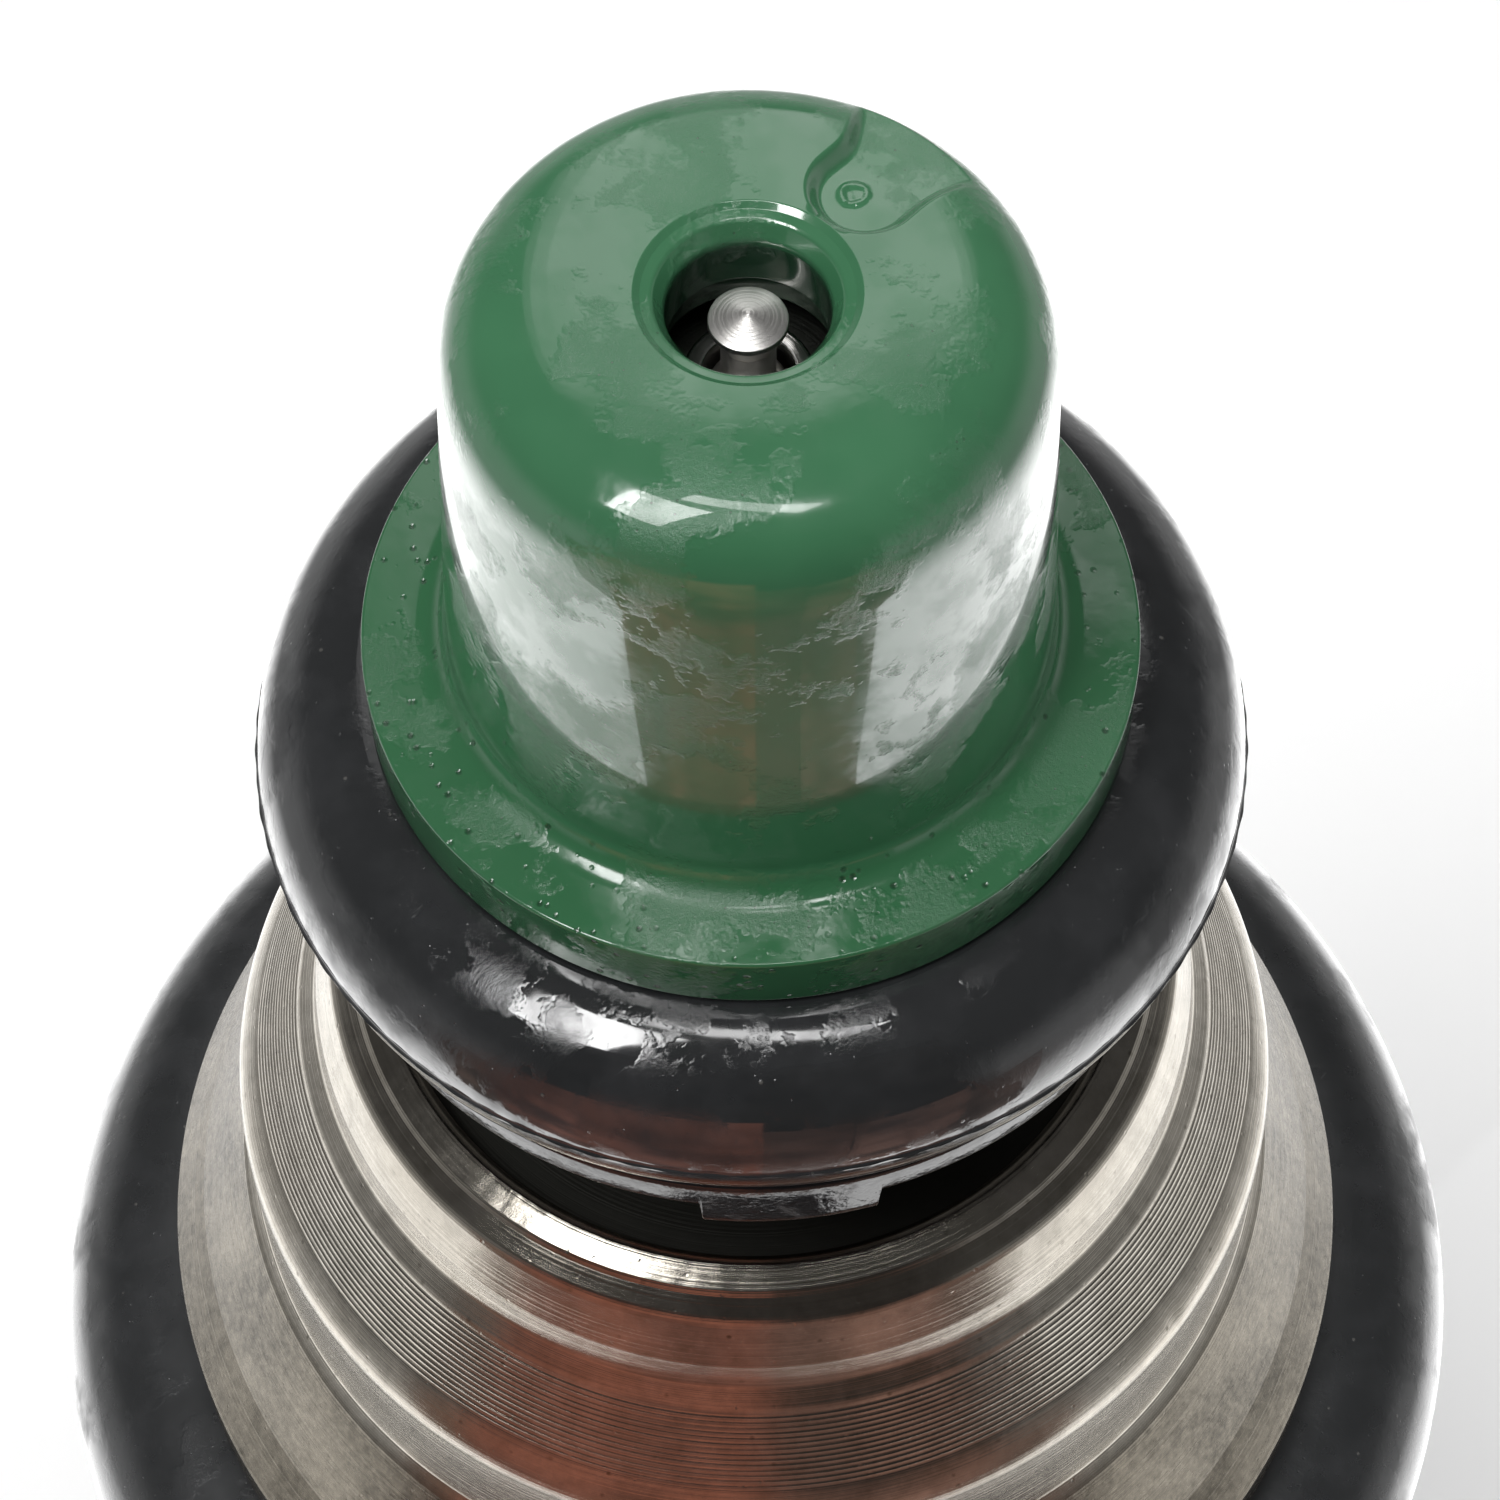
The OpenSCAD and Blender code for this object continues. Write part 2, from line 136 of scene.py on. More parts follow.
def plain_sheet(name, corners, colour, glowing=False, in_diffuse=False):
    """One flat quad through four corners, in one plain matt colour. A glowing one is black but for
    its own light, and it shows in gloss only, or with in_diffuse in diffuse light as well."""
    mesh = bpy.data.meshes.new(name)
    mesh.from_pydata(corners, [], [(0, 1, 2, 3)])
    sheet = bpy.data.objects.new(name, mesh)
    bpy.context.scene.collection.objects.link(sheet)
    paint = bpy.data.materials.new(name)
    paint.use_nodes = True
    matt = paint.node_tree.nodes["Principled BSDF"].inputs
    matt["Roughness"].default_value = 0.7
    matt["Base Color"].default_value = (0, 0, 0, 1) if glowing else (*colour, 1)
    if glowing:
        matt["Emission Color"].default_value = (*colour, 1)
        sheet.visible_camera = False
        sheet.visible_diffuse = in_diffuse
        sheet.visible_shadow = False
        sheet.visible_transmission = False
    mesh.materials.append(paint)
    return sheet


def floor_corners(height):
    """The corners of a level square, 6 m on a side."""
    return [(-3, -3, height), (3, -3, height), (3, 3, height), (-3, 3, height)]


def gloss_card(name, left, right, low, high, forward, colour, in_diffuse=False):
    """An upright glowing card in front, in millimetres, uneven in its brightness."""
    sides = (left, low), (right, low), (right, high), (left, high)
    corners = [(MM * x, MM * -forward, MM * z) for x, z in sides]
    card = plain_sheet(name, corners, colour, glowing=True, in_diffuse=in_diffuse)
    tree = card.data.materials[0].node_tree
    place = tree.nodes.new("ShaderNodeTexCoord")
    blotch = tree.nodes.new("ShaderNodeTexNoise")
    blotch.inputs["Scale"].default_value = 60
    tree.links.new(place.outputs["Object"], blotch.inputs["Vector"])
    uneven = ramp(tree, blotch.outputs[0], (0.35, 0.45), (0.65, 1.6), "LINEAR")
    tree.links.new(uneven, tree.nodes["Principled BSDF"].inputs["Emission Strength"])


plain_sheet("floor", floor_corners(0), (0.9, 0.9, 0.9))
sheen = plain_sheet("floor_sheen", floor_corners(0.2 * MM), (1, 1, 1), glowing=True)
glow = sheen.data.materials[0].node_tree
spot = glow.nodes.new("ShaderNodeTexCoord")
far = glow.nodes.new("ShaderNodeVectorMath")
far.operation = "LENGTH"
glow.links.new(spot.outputs["Object"], far.inputs[0])
glow.links.new(ramp(glow, far.outputs["Value"], (0.045, 2.2), (0.190, 0.45)),
               glow.nodes["Principled BSDF"].inputs["Emission Strength"])
gloss_card("lens_card", -40, 38, 1, 128, 46, (0.030, 0.027, 0.025), in_diffuse=True)
gloss_card("palm_card", -42, 1, 3, 68, 40, (0.36, 0.13, 0.085))
gloss_card("left_sleeve_card", -62, -42, 3, 60, 40.5, (0.19, 0.115, 0.085))
gloss_card("right_sleeve_card", 30, 50, 3, 56, 40.5, (0.17, 0.11, 0.09))
gloss_card("shade_card", 1, 12, 3, 62, 41, (0.17, 0.09, 0.07))
gloss_card("finger_card", 12, 30, 3, 60, 40, (0.28, 0.15, 0.115))


# ---------------------------------------------------------------------------------------------
# The inlet tube: one turned piece of plated steel from the rail rim to the pole face, bored for
# fuel. The coil's flange sits half way up and the upper seal ring rides in its end groove.


class Value:
    """One number that varies over a surface; arithmetic on it adds Math nodes."""

    def __init__(self, shader, socket):
        self.shader, self.socket = shader, socket

    def _math(self, operation, *terms):
        return self.shader.add("ShaderNodeMath", {"operation": operation}, dict(enumerate(terms)))

    def __add__(self, other):
        return self._math("ADD", self, other)

    def __sub__(self, other):
        return self._math("SUBTRACT", self, other)

    def __rsub__(self, other):
        return self._math("SUBTRACT", other, self)

    def __mul__(self, other):
        return self._math("MULTIPLY", self, other)

    __radd__, __rmul__ = __add__, __mul__

    def band(self, low, high):
        """0 below low, 1 above high, a straight ramp between; high may be under low."""
        return self.shader.add("ShaderNodeMapRange", {"clamp": True}, {
            "Value": self, "From Min": low, "From Max": high, "To Min": 0.0, "To Max": 1.0})


class Finish:
    """A material under one Principled shader, with the nodes that feed it."""

    def __init__(self, name, roughness, metallic=0.0, **constants):
        self.material = bpy.data.materials.new(name)
        self.material.use_nodes = True
        self.tree = self.material.node_tree
        self.shader = self.tree.nodes["Principled BSDF"]
        self.set("Roughness", roughness)
        self.set("Metallic", metallic)
        for socket, value in constants.items():
            self.set(socket.replace("_", " "), value)

    def set(self, socket, value):
        """Gives one input of the shader a constant, or links it to a Value."""
        if isinstance(value, Value):
            self.tree.links.new(value.socket, self.shader.inputs[socket])
        else:
            self.shader.inputs[socket].default_value = value

    def add(self, kind, settings, inputs, out=0):
        """Adds one node: its settings first, then each input's value or link."""
        node = self.tree.nodes.new(kind)
        for setting, value in settings.items():
            setattr(node, setting, value)
        for socket, value in inputs.items():
            if isinstance(value, Value):
                self.tree.links.new(value.socket, node.inputs[socket])
            else:
                node.inputs[socket].default_value = value
        return Value(self, node.outputs[out])

    def place(self):
        """Object coordinates in millimetres."""
        spot = self.add("ShaderNodeTexCoord", {}, {}, "Object")
        return self.add("ShaderNodeVectorMath", {"operation": "SCALE"}, {0: spot, "Scale": 1 / MM})

    def height(self):
        """Height above the rail rim in millimetres: the z of place()."""
        return self.add("ShaderNodeSeparateXYZ", {}, {0: self.place()}, "Z")

    def radius(self):
        """Distance from the axis in millimetres: the length of (x, y, 0)."""
        flat = self.add("ShaderNodeVectorMath", {"operation": "MULTIPLY"}, {
            0: self.place(), 1: (1, 1, 0)})
        return self.add("ShaderNodeVectorMath", {"operation": "LENGTH"}, {0: flat}, "Value")

    def along(self):
        """Length along the outline in millimetres, from the surface's own UV map."""
        uv = self.add("ShaderNodeUVMap", {"uv_map": "outline"}, {})
        return self.add("ShaderNodeSeparateXYZ", {}, {0: uv}, "Y")

    def noise(self, scale, detail=3.0, rough=0.55):
        """Fractal noise, scale in patches per millimetre, from 0 to 1."""
        return self.add("ShaderNodeTexNoise", {}, {
            "Vector": self.place(), "Scale": scale, "Detail": detail, "Roughness": rough})

    def turned_lines(self, scale, detail=2.0):
        """Noise that changes only along the outline, so it lies in rings round the axis."""
        return self.add("ShaderNodeTexNoise", {"noise_dimensions": "1D"}, {
            "W": self.along(), "Scale": scale, "Detail": detail})

    def specks(self, scale, size):
        """1 on small dots scattered one to a cell, 0 between; scale in cells per millimetre."""
        cell = self.add("ShaderNodeTexVoronoi", {}, {
            "Vector": self.place(), "Scale": scale}, "Distance")
        return cell.band(size, size * 0.4)

    def blend(self, factor, low, high):
        """The colour low where factor is 0, high where it is 1."""
        mix = self.tree.nodes.new("ShaderNodeMix")
        mix.data_type = "RGBA"
        for socket, value in ((0, factor), (6, low), (7, high)):
            if isinstance(value, Value):
                self.tree.links.new(value.socket, mix.inputs[socket])
            else:
                mix.inputs[socket].default_value = (*value, 1)
        return Value(self, mix.outputs[2])

    def raise_by(self, height, depth):
        """Bumps the surface by height times depth in millimetres."""
        bump = self.add("ShaderNodeBump", {}, {
            "Height": height, "Distance": depth * MM, "Strength": 1.0})
        self.set("Normal", bump)


def plated_steel():
    """Dull nickel over turned steel: rings of tool marks, stains, dust and tiny pits. The second
    cone, under the pilot, is blasted matt."""
    f = Finish("plated_steel", 0.25, 1.0)
    height = f.height()
    blasted = height.band(S - 12.75, S - 12.95) * height.band(S - 17.4, S - 17.0)
    stain = f.noise(0.55, 4.0).band(0.35, 0.7)
    tone = f.noise(2.2, 5.0, 0.65).band(0.3, 0.75)
    clean = f.blend(tone, (0.31, 0.288, 0.248), (0.47, 0.44, 0.39))
    mottle = f.noise(5.0, 6.0, 0.75).band(0.35, 0.65)
    dull = f.blend(mottle, (0.050, 0.043, 0.031), (0.160, 0.142, 0.112))
    base = f.blend(blasted, clean, dull)
    dirty = f.blend(f.specks(2.6, 0.15) * tone, base, (0.13, 0.115, 0.09))
    f.set("Base Color", f.blend(stain * 0.3, dirty, (0.37, 0.33, 0.265)))
    rings = f.turned_lines(14.0, 4.0)
    fine_rings = f.turned_lines(55.0, 3.0)
    f.set("Roughness", rings * 0.08 + f.noise(6.0, 3.0) * 0.08 + blasted * 0.09 + 0.09)
    grain = f.noise(18.0, 4.0, 0.7) * 0.25 + f.noise(34.0, 2.0) * blasted * 0.3
    f.raise_by(rings * 0.7 + fine_rings * 0.35 + grain - f.specks(3.1, 0.12) * 0.5, 0.006)
    return f.material


def rounded(corners, steps=7):
    """Outline points through corners (radius, height, rounding), all in millimetres.
    Each rounding is an arc that touches both sides: its centre is rounding / sin(half angle) from
    the corner, along the line that halves the corner."""
    points = []
    count = len(corners)
    for i, (r, z, fillet) in enumerate(corners):
        here = np.array((r, z), float)
        before = np.array(corners[i - 1][:2], float) - here
        after = np.array(corners[(i + 1) % count][:2], float) - here
        if fillet <= 0:
            points.append(here[None])
            continue
        before, after = before / np.linalg.norm(before), after / np.linalg.norm(after)
        half = math.acos(np.clip(before @ after, -1, 1)) / 2
        middle = (before + after) / np.linalg.norm(before + after)
        centre = here + middle * fillet / math.sin(half)
        start, end = (here + side * fillet / math.tan(half) - centre for side in (before, after))
        sweep = math.atan2(start[0] * end[1] - start[1] * end[0], start @ end)
        turn = np.linspace(0, sweep, steps)
        points.append(centre + np.stack([
            start[0] * np.cos(turn) - start[1] * np.sin(turn),
            start[0] * np.sin(turn) + start[1] * np.cos(turn)], 1))
    return np.concatenate(points)


def fine(points, longest):
    """The same outline with no step over longest."""
    steps = np.diff(points, axis=0)
    parts = np.maximum(1, np.ceil(np.linalg.norm(steps, axis=1) / longest)).astype(int)
    start = np.repeat(points[:-1], parts, axis=0)
    step = np.repeat(steps / parts[:, None], parts, axis=0)
    index = np.arange(parts.sum()) - np.repeat(np.cumsum(parts) - parts, parts)
    return np.concatenate([start + step * index[:, None], points[-1:]])


def run_of(points):
    """The length along a line of points, from its start to each of them."""
    return np.concatenate([[0], np.cumsum(np.linalg.norm(np.diff(points, axis=0), axis=1))])


def skin(name, grid, material, lengths, sharp=35):
    """A mesh from a grid of points [outline, turn, xyz] in metres, closed round the turn.
    The UV map "outline" holds the turn and the length along the outline in millimetres."""
    rows, columns = grid.shape[:2]
    i, j = np.meshgrid(np.arange(rows - 1), np.arange(columns), indexing="ij")
    right = (j + 1) % columns
    faces = np.stack([i * columns + j, i * columns + right,
                      (i + 1) * columns + right, (i + 1) * columns + j], -1).reshape(-1, 4)
    uv = np.stack(np.broadcast_arrays(
        np.stack([j, j + 1, j + 1, j], -1) / columns,
        np.stack([lengths[i], lengths[i], lengths[i + 1], lengths[i + 1]], -1)), -1).reshape(-1, 2)
    mesh = bpy.data.meshes.new(name)
    mesh.vertices.add(rows * columns)
    mesh.vertices.foreach_set("co", grid.reshape(-1).astype(np.float32))
    mesh.loops.add(faces.size)
    mesh.loops.foreach_set("vertex_index", faces.reshape(-1).astype(np.int32))
    mesh.polygons.add(len(faces))
    mesh.polygons.foreach_set("loop_start", np.arange(0, faces.size, 4, dtype=np.int32))
    mesh.uv_layers.new(name="outline").data.foreach_set("uv", uv.reshape(-1).astype(np.float32))
    mesh.update(calc_edges=True)
    mesh.validate()
    weld(mesh)
    mesh.shade_smooth()
    mesh.set_sharp_from_angle(angle=math.radians(sharp))
    mesh.materials.append(material)
    piece = bpy.data.objects.new(name, mesh)
    bpy.context.scene.collection.objects.link(piece)
    return piece


def weld(mesh):
    """Merges the points that meet, at a pole or where an outline closes."""
    work = bmesh.new()
    work.from_mesh(mesh)
    bmesh.ops.remove_doubles(work, verts=work.verts, dist=1e-7)
    bmesh.ops.dissolve_degenerate(work, edges=work.edges, dist=1e-8)
    work.to_mesh(mesh)
    work.free()


def turned(name, outline, material, turns=192, sharp=35, longest=2.0, shape=None):
    """A surface of revolution about Z: point = (r cos turn, r sin turn, z).
    The outline runs so that the metal lies on its left: out, up, in, down. Turns is a count or the
    turns themselves, and shape(r, z, turn) may move the surface in and out or up and down."""
    outline = fine(np.asarray(outline, float), longest)
    turn = np.linspace(0, math.tau, turns, endpoint=False) if isinstance(turns, int) else turns
    r, z = outline[:, :1] + 0 * turn, outline[:, 1:] + 0 * turn
    if shape:
        r, z = shape(r, z, turn)
    grid = np.stack([r * np.cos(turn), r * np.sin(turn), z], -1) * MM
    return skin(name, grid, material, run_of(outline), sharp)


def closed(corners, steps=7):
    """A closed outline: the last point is the first."""
    points = rounded(corners, steps)
    return np.concatenate([points, points[:1]])


def fit(piece, body, slot, *nodes):
    """The piece rides on its body and stands for its CAD nodes. The slot is not used."""
    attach(piece, body)
    if nodes:
        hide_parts(*nodes)


def dress(node, material):
    """Puts a material on a CAD node that shows as it is."""
    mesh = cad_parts[node].data
    mesh.materials.clear()
    mesh.materials.append(material)


BODY, NEEDLE = "injector_body", "needle_assembly"
nickel_plate = plated_steel()
POLE = 36.19
tube_outline = closed([
    (3.25, 0, 0.05), (4.9, 0, 0.02), (4.97, 0.06, 0.02), (5.13, 0.06, 0.02), (5.2, 0, 0.02),
    (6.6, 0, 0.3), (6.6, 1.6, 0.28), (3.74, 1.6, 0.12), (3.74, 6.5, 0), (4.2, 6.5, 0),
    (4.2, 24.2, 0), (10.35, 24.2, 0.1), (10.35, 27, 0.2), (4.6, 27, 0.3), (4.6, POLE, 0.15),
    (2.05, POLE, 0.15), (2.05, 11, 0.1), (3.0, 11, 0.05), (3.0, 0.25, 0.02)], 6)
tube = turned("plated_inlet_tube", tube_outline, nickel_plate, 240, 30)
fit(tube, BODY, "plated_steel", "inlet_tube")


# ---------------------------------------------------------------------------------------------
# The housing: a deep steel shell, turned and nickel plated. Its thin spray end is rolled in over
# the nozzle body; below it come a grooved cone, a bright rounded step, the pilot, a blasted
# second cone with its chamfered shoulder, the cushion ring's seat and the barrel.


def grooves(start, end, count, depth, steps=6):
    """A straight run from start to end, scalloped by count round-bottomed grooves: the cut is
    depth * |sin|, so that a sharp ridge stands between two grooves."""
    start, end = np.array(start, float), np.array(end, float)
    along = end - start
    inward = np.array((along[1], -along[0])) / np.linalg.norm(along)
    share = np.linspace(0, 1, count * steps + 1)
    cut = depth * np.abs(np.sin(math.pi * count * share))
    return start + share[:, None] * along + cut[:, None] * inward


def dent(turn, height, z, at, level, wide, tall):
    """A small bruise: height * exp(-(turn offset / wide)^2 - (level offset / tall)^2)."""
    away = np.angle(np.exp(1j * (turn - math.radians(at))))
    return height * np.exp(-(away / math.radians(wide)) ** 2 - ((z - level) / tall) ** 2)


def rolled_edge(r, z, turn):
    """Radial chatter on the rolled lip's inner edge, ripples on its land, and two bruises."""
    chatter = np.sin(97 * turn) * np.sin(41 * turn + 1) + 0.5 * np.sin(133 * turn + 2)
    inner = np.exp(-((r - 6.03) / 0.14) ** 2) * (z > S - 6.4)
    land = np.exp(-((r - 6.42) / 0.10) ** 2) * (z > S - 6.6)
    ripple = np.sin(71 * turn) * np.sin(31 * turn + 2)
    z = z + 0.007 * chatter * inner + 0.006 * ripple * land
    bruises = (dent(turn, 0.05, z, -38, S - 10.0, 0.9, 0.2)
               + dent(turn, 0.03, z, -13, S - 9.9, 0.7, 0.12))
    return r - bruises, z


CONE_TOP, CONE_FOOT = (7.56, S - 8.32), (8.38, S - 9.62)
lip = rounded([
    (5.85, S - 6.65, 0), (5.85, S - 6.12, 0.08), (6.02, S - 5.95, 0.14), (6.16, S - 5.985, 0.05),
    (6.44, S - 6.11, 0.03), (6.52, S - 6.20, 0.03), (6.86, S - 6.45, 0.4), (7.17, S - 7.4, 0.4),
    (7.24, S - 7.95, 0.25), (7.5, S - 8.25, 0.05), (*CONE_TOP, 0)], 10)
cone = grooves(CONE_TOP, CONE_FOOT, 15, 0.012, 5)
lower = rounded([
    (*CONE_FOOT, 0), (8.75, S - 10.2, 0.85), (8.75, S - 12.65, 0.12), (8.95, S - 12.9, 0.1),
    (9.9, S - 15, 0.05), (10.5, S - 16, 0.12), (10.5, S - 17.1, 0.15), (9.6, S - 17.2, 0.1),
    (9.6, S - 22.2, 0.1), (11.5, S - 22.2, 0.25), (12, S - 22.7, 0.25), (12, 22.8, 0.9),
    (9.7, 22.8, 0.15), (9.7, 24.2, 0), (10.4, 24.2, 0), (10.4, S - 23.2, 0), (4.85, S - 23.2, 0),
    (4.85, S - 17.9, 0), (6.8, S - 17.9, 0), (6.8, S - 7.6, 0), (5.85, S - 6.65, 0)], 7)
shell_outline = np.concatenate([lip[:-1], cone, lower[1:]])[::-1]
shell = turned("housing_shell", shell_outline, nickel_plate, 336, 28, 1.4, rolled_edge)
fit(shell, BODY, "plated_steel", "housing")


# ---------------------------------------------------------------------------------------------
# The cushion ring: moulded black rubber, pressed over the shoulder into its seat, so that the
# injector stands on rubber in the manifold.


def rubber(name, shine):
    """Black rubber, wet with oil in patches, with a grey bloom, fine pits and stuck specks."""
    f = Finish(name, shine, Specular_IOR_Level=0.75, Coat_Roughness=0.03)
    bloom = f.noise(0.8, 4.0, 0.6).band(0.45, 0.8)
    dust = f.specks(1.4, 0.055)
    black = f.blend(bloom, (0.017, 0.018, 0.019), (0.030, 0.031, 0.033))
    f.set("Base Color", f.blend(dust * 0.5, black, (0.10, 0.095, 0.085)))
    wet = f.noise(0.45, 4.0, 0.6).band(0.40, 0.50)
    f.set("Roughness", f.noise(3.0, 4.0) * 0.08 - wet * 0.04 + dust * 0.3 + (shine - 0.02))
    f.set("Coat Weight", wet * 0.9)
    worn = f.noise(1.1, 4.0, 0.6).band(0.46, 0.52)
    pits = f.specks(5.0, 0.11) * worn
    ragged = f.noise(9.0, 5.0, 0.8) * worn * 1.4
    f.raise_by(f.noise(1.6, 2.0) * 1.0 + ragged * 0.9 + dust - pits * 1.2, 0.0045)
    return f.material


seal_rubber = rubber("seal_rubber", 0.08)
cushion_rubber = rubber("cushion_rubber", 0.30)
CUSHION_BORE, CUSHION_RADIUS, CUSHION_HALF, CUSHION_MIDDLE = 9.63, 12.985, 2.3, 44.3
angle = np.radians(np.linspace(-90, 90, 40))
bulge = np.stack([CUSHION_RADIUS - CUSHION_HALF + CUSHION_HALF * np.cos(angle),
                  CUSHION_MIDDLE + CUSHION_HALF * np.sin(angle)], 1)
bore_foot, bore_top = ((CUSHION_BORE, CUSHION_MIDDLE + way * CUSHION_HALF) for way in (-1, 1))
cushion = turned("cushion", np.concatenate([[bore_foot], bulge, [bore_top, bore_foot]]),
                 cushion_rubber, 256)
fit(cushion, BODY, "cushion_rubber", "cushion_ring")


# ---------------------------------------------------------------------------------------------
# The nozzle body: ground steel held under the rolled lip. The neck carries the washer and the
# seal ring, and the nose ends in the orifice's raised rim, deep in the cap.


def ground_steel(name, tone, roughness):
    """Bright ground steel with fine rings and a little oil."""
    f = Finish(name, roughness, 1.0)
    shade = f.noise(3.0, 4.0).band(0.3, 0.75)
    f.set("Base Color", f.blend(shade, tuple(0.82 * c for c in tone), tone))
    rings = f.turned_lines(26.0, 3.0)
    f.set("Roughness", rings * 0.12 + f.noise(9.0) * 0.08 + (roughness - 0.08))
    f.raise_by(rings + f.noise(30.0, 3.0) * 0.2, 0.003)
    return f.material


nozzle_steel = ground_steel("nozzle_steel", (0.52, 0.51, 0.50), 0.26)
needle_steel = ground_steel("needle_steel", (0.84, 0.82, 0.79), 0.34)


def painted_shade_steel():
    """Ground steel with painted shade: dark at the foot, below the lip's pit and under the washer,
    and on the nose's top outside the orifice's rim, deep in the cap.
    """
    f = Finish("painted_shade_steel", 0.3, 1.0)
    height = f.height()
    # painted shade: the nose's top outside the orifice's rim, deep in the cap's cavity, is painted
    # dark
    painted_cavity_shade = f.radius().band(0.86, 1.0) * height.band(S + 6.0, S + 7.0)
    # painted shade: everything below the lip's pit, under the washer and seal ring, is painted dark
    painted_foot_shade = height.band(S - 6.0, S - 6.4)
    tone = f.noise(6.0, 4.0)
    metal = f.blend(tone, (0.40, 0.38, 0.36), (0.56, 0.55, 0.53))
    # dark is the painted shade's colour, darker still at the foot
    dark = f.blend(painted_foot_shade, (0.075, 0.080, 0.070), (0.045, 0.045, 0.040))
    f.set("Base Color", f.blend(painted_cavity_shade + painted_foot_shade, metal, dark))
    f.set("Roughness", tone * 0.15 + (painted_cavity_shade + painted_foot_shade) * 0.25 + 0.16)
    f.raise_by(f.turned_lines(26.0) + f.noise(22.0, 3.0) * (painted_cavity_shade + 0.2), 0.004)
    return f.material


body_outline = closed([
    (3.3, S - 16.5, 0.1), (6.77, S - 16.5, 0.2), (6.77, S - 13.8, 0.05), (5.75, S - 13.8, 0.1),
    (5.75, S - 12.6, 0.1), (6.77, S - 12.6, 0.05), (6.77, S - 7.75, 0.05), (5.8, S - 6.78, 0.05),
    (4.2, S - 6.78, 0.2), (4.2, S - 2.45, 0.1), (3.74, S - 2.45, 0.05), (3.74, S + 1.8, 0.2),
    (2.7, S + 1.8, 0.15), (2.7, S + 4.0, 0.05), (2.9, S + 4.4, 0.1), (2.7, S + 4.8, 0.05),
    (2.7, S + 7.0, 0.2), (1.7, S + 8.55, 0.15), (0.94, S + 8.55, 0.06), (0.84, S + 8.9, 0.05),
    (0.6, S + 8.9, 0.05), (0.6, S + 7.7, 0.02), (1.9, S + 6.4, 0.05), (1.9, S - 14.3, 0.1),
    (3.3, S - 14.3, 0.1)])
ground_body = turned("ground_body", body_outline, painted_shade_steel(), 192, 30)
fit(ground_body, BODY, "nozzle_steel", "nozzle_body")
dress("stop_washer", nozzle_steel)
dress("lift_shim", needle_steel)
dress("body_seal", seal_rubber)


# ---------------------------------------------------------------------------------------------
# The needle and its armature, the only moving body: ground hard steel from the shank to the
# pintle's head, which is turned to a flat cone and stands in the spray hole.

PINTLE_TOP, SHANK_FOOT, COLLAR_FOOT = S + 10.06, 42.1, 47.66
needle_outline = rounded([
    (0, SHANK_FOOT, 0), (1.3, SHANK_FOOT, 0.1), (1.3, COLLAR_FOOT, 0), (2.7, COLLAR_FOOT, 0.08),
    (2.7, 49.3, 0.08), (1.35, 49.3, 0.1), (1.35, S + 5.8, 0.2), (1.65, S + 6.1, 0.1),
    (1.65, S + 6.62, 0.05), (0.52, S + 7.75, 0.05), (0.52, S + 8.65, 0.03), (0.36, S + 8.85, 0.06),
    (0.36, PINTLE_TOP - 0.46, 0.08), (0.44, PINTLE_TOP - 0.20, 0.03),
    (0.52, PINTLE_TOP - 0.12, 0.02), (0.52, PINTLE_TOP - 0.03, 0.02),
    (0.03, PINTLE_TOP + 0.11, 0.02), (0, PINTLE_TOP + 0.112, 0)], 7)
pintle = turned("needle_and_pintle", needle_outline, needle_steel, 128, 30, 0.5)
fit(pintle, NEEDLE, "needle_steel", "needle")
dress("armature", nozzle_steel)
spring_steel = ground_steel("spring_steel", (0.46, 0.46, 0.47), 0.30)
dress("adjusting_sleeve", spring_steel)

# the return spring's wire centre climbs nine turns at 1.5 mm from the axis, more slowly near both
# ends: rise = 5 u^2 up to u = 0.1, then 0.05 + 1.125 (u - 0.1), and the same the other way round
SPRING_FOOT, SPRING_TOP, SPRING_TURNS = 29.2, 39.795, 9
COIL_RADIUS, WIRE_RADIUS = 1.5, 0.28
share = np.linspace(0, 1, SPRING_TURNS * 48 + 1)
from_end = np.minimum(share, 1 - share)
rise = np.where(from_end < 0.1, 5 * from_end ** 2, 0.05 + 1.125 * (from_end - 0.1))
rise = np.where(share > 0.5, 1 - rise, rise)
climb = SPRING_FOOT + WIRE_RADIUS + (SPRING_TOP - SPRING_FOOT - 2 * WIRE_RADIUS) * rise
coil_turn = math.tau * SPRING_TURNS * share
# the first and last sections come twice, once with no thickness, to close the wire's ends
ends = [0, *range(len(share)), len(share) - 1]
climb, coil_turn = climb[ends][:, None], coil_turn[ends][:, None]
thick = np.full((len(ends), 1), WIRE_RADIUS)
thick[[0, -1]] = 0
round_wire = -np.linspace(0, math.tau, 16, endpoint=False)
from_axis = COIL_RADIUS + thick * np.cos(round_wire)
wire = np.stack([from_axis * np.cos(coil_turn), from_axis * np.sin(coil_turn),
                 climb + thick * np.sin(round_wire)], -1) * MM
coil_spring = skin("coil_spring", wire, spring_steel, COIL_RADIUS * coil_turn[:, 0])
fit(coil_spring, BODY, "spring_steel", "return_spring")
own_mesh(coil_spring)


# ---------------------------------------------------------------------------------------------
# The pintle cap: one moulding of glossy green plastic, pressed over the nose. It has a drafted
# wall, a big soft top edge, a sunk lip round the spray hole, a flange over the seal ring and a
# pocket over one edge with the torn stub of the moulding gate in it.


